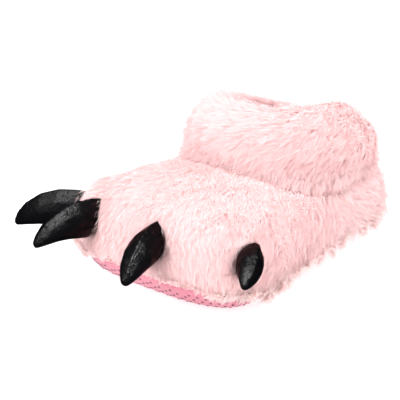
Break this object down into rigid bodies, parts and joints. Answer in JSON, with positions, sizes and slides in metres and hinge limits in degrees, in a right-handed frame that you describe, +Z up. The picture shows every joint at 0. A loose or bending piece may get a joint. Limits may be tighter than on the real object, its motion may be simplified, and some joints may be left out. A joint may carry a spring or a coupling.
{
  "type": "claw slipper",
  "caption": "Plush house slipper shaped like a broad furry paw, with stuffed claws at the toe, a slack ankle cuff and a padded fabric sole.",
  "frame": {"origin": "on the floor plane, at the middle of the heel's flat under the sole", "axes": "+X towards the toe, +Y towards the side that faces left, +Z up"},
  "size_m": [0.3535, 0.2542, 0.1369],
  "materials": {
    "fur": "deep soft faux fur, pale pink",
    "sole_cloth": "dense pink cloth with small raised grip dots",
    "lining": "short pink fleece",
    "claw_cloth": "shiny crackled black coated cloth"
  },
  "bodies": {
    "root": {"outsole": "sole_cloth", "footbed": "lining", "upper": "fur", "cuff": "fur", "claw_right_outer": "claw_cloth", "claw_right_inner": "claw_cloth", "claw_left_inner": "claw_cloth", "claw_left_outer": "claw_cloth"}
  },
  "joints": []
}
